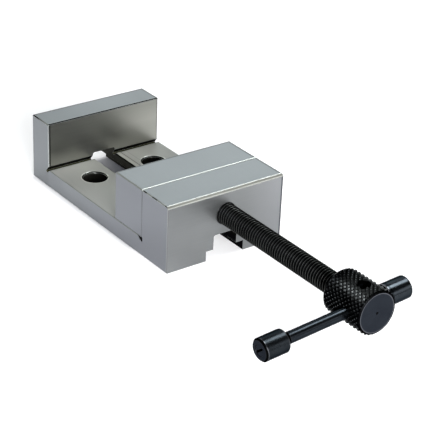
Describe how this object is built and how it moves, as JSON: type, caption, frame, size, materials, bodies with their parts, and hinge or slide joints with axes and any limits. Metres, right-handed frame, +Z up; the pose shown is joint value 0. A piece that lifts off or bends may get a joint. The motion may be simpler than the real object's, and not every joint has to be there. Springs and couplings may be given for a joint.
{
  "type": "machine vise",
  "caption": "Small ground steel machine vise: fixed jaw, jaw sliding along a slotted bed, and a long knurled screw turned by a sliding tommy bar.",
  "frame": {"origin": "where the screw's axis meets the fixed jaw's clamping face", "axes": "+X runs along the screw from the fixed jaw to the screw's head, +Z is up from the base, and +Y is to the right as seen from the screw's head; y = 0 is the middle of the body"},
  "size_m": [0.1702, 0.0668, 0.026],
  "materials": {
    "ground_steel": "hardened steel, fine surface-ground",
    "bright_pins": "ground dowel pin",
    "black_oxide_screws": "black oxide",
    "black_oxide_spindle": "turned and diamond-knurled, black oxide",
    "black_oxide_bar": "polished, black oxide"
  },
  "bodies": {
    "body": {"vise_body": "ground_steel"},
    "jaw": {"sliding_jaw": "ground_steel", "keep_plate": "ground_steel", "keep_plate_screw_front": "black_oxide_screws", "keep_plate_screw_rear": "black_oxide_screws", "nose_pin_left": "bright_pins", "nose_pin_right": "bright_pins"},
    "screw": {"spindle": "black_oxide_spindle"},
    "handle": {"tommy_bar": "black_oxide_bar", "tommy_knob_left": "black_oxide_bar", "tommy_knob_right": "black_oxide_bar"}
  },
  "joints": [
    {"name": "jaw_slide", "type": "slide", "parent": "body", "child": "jaw", "axis": [-1, 0, 0], "range_m": [0, 0.04665]},
    {"name": "screw_turn", "type": "hinge", "parent": "jaw", "child": "screw", "pos_m": [0.0635, 0, 0], "axis": [-1, 0, 0], "range_deg": [0, 13436]},
    {"name": "handle_slide", "type": "slide", "parent": "screw", "child": "handle", "axis": [0, 0.9975, 0.0708], "range_m": [0, 0.02415]}
  ],
  "couplings": [
    {"joint": "screw_turn", "follows": "jaw_slide", "rad_per_m": 5026.5}
  ]
}
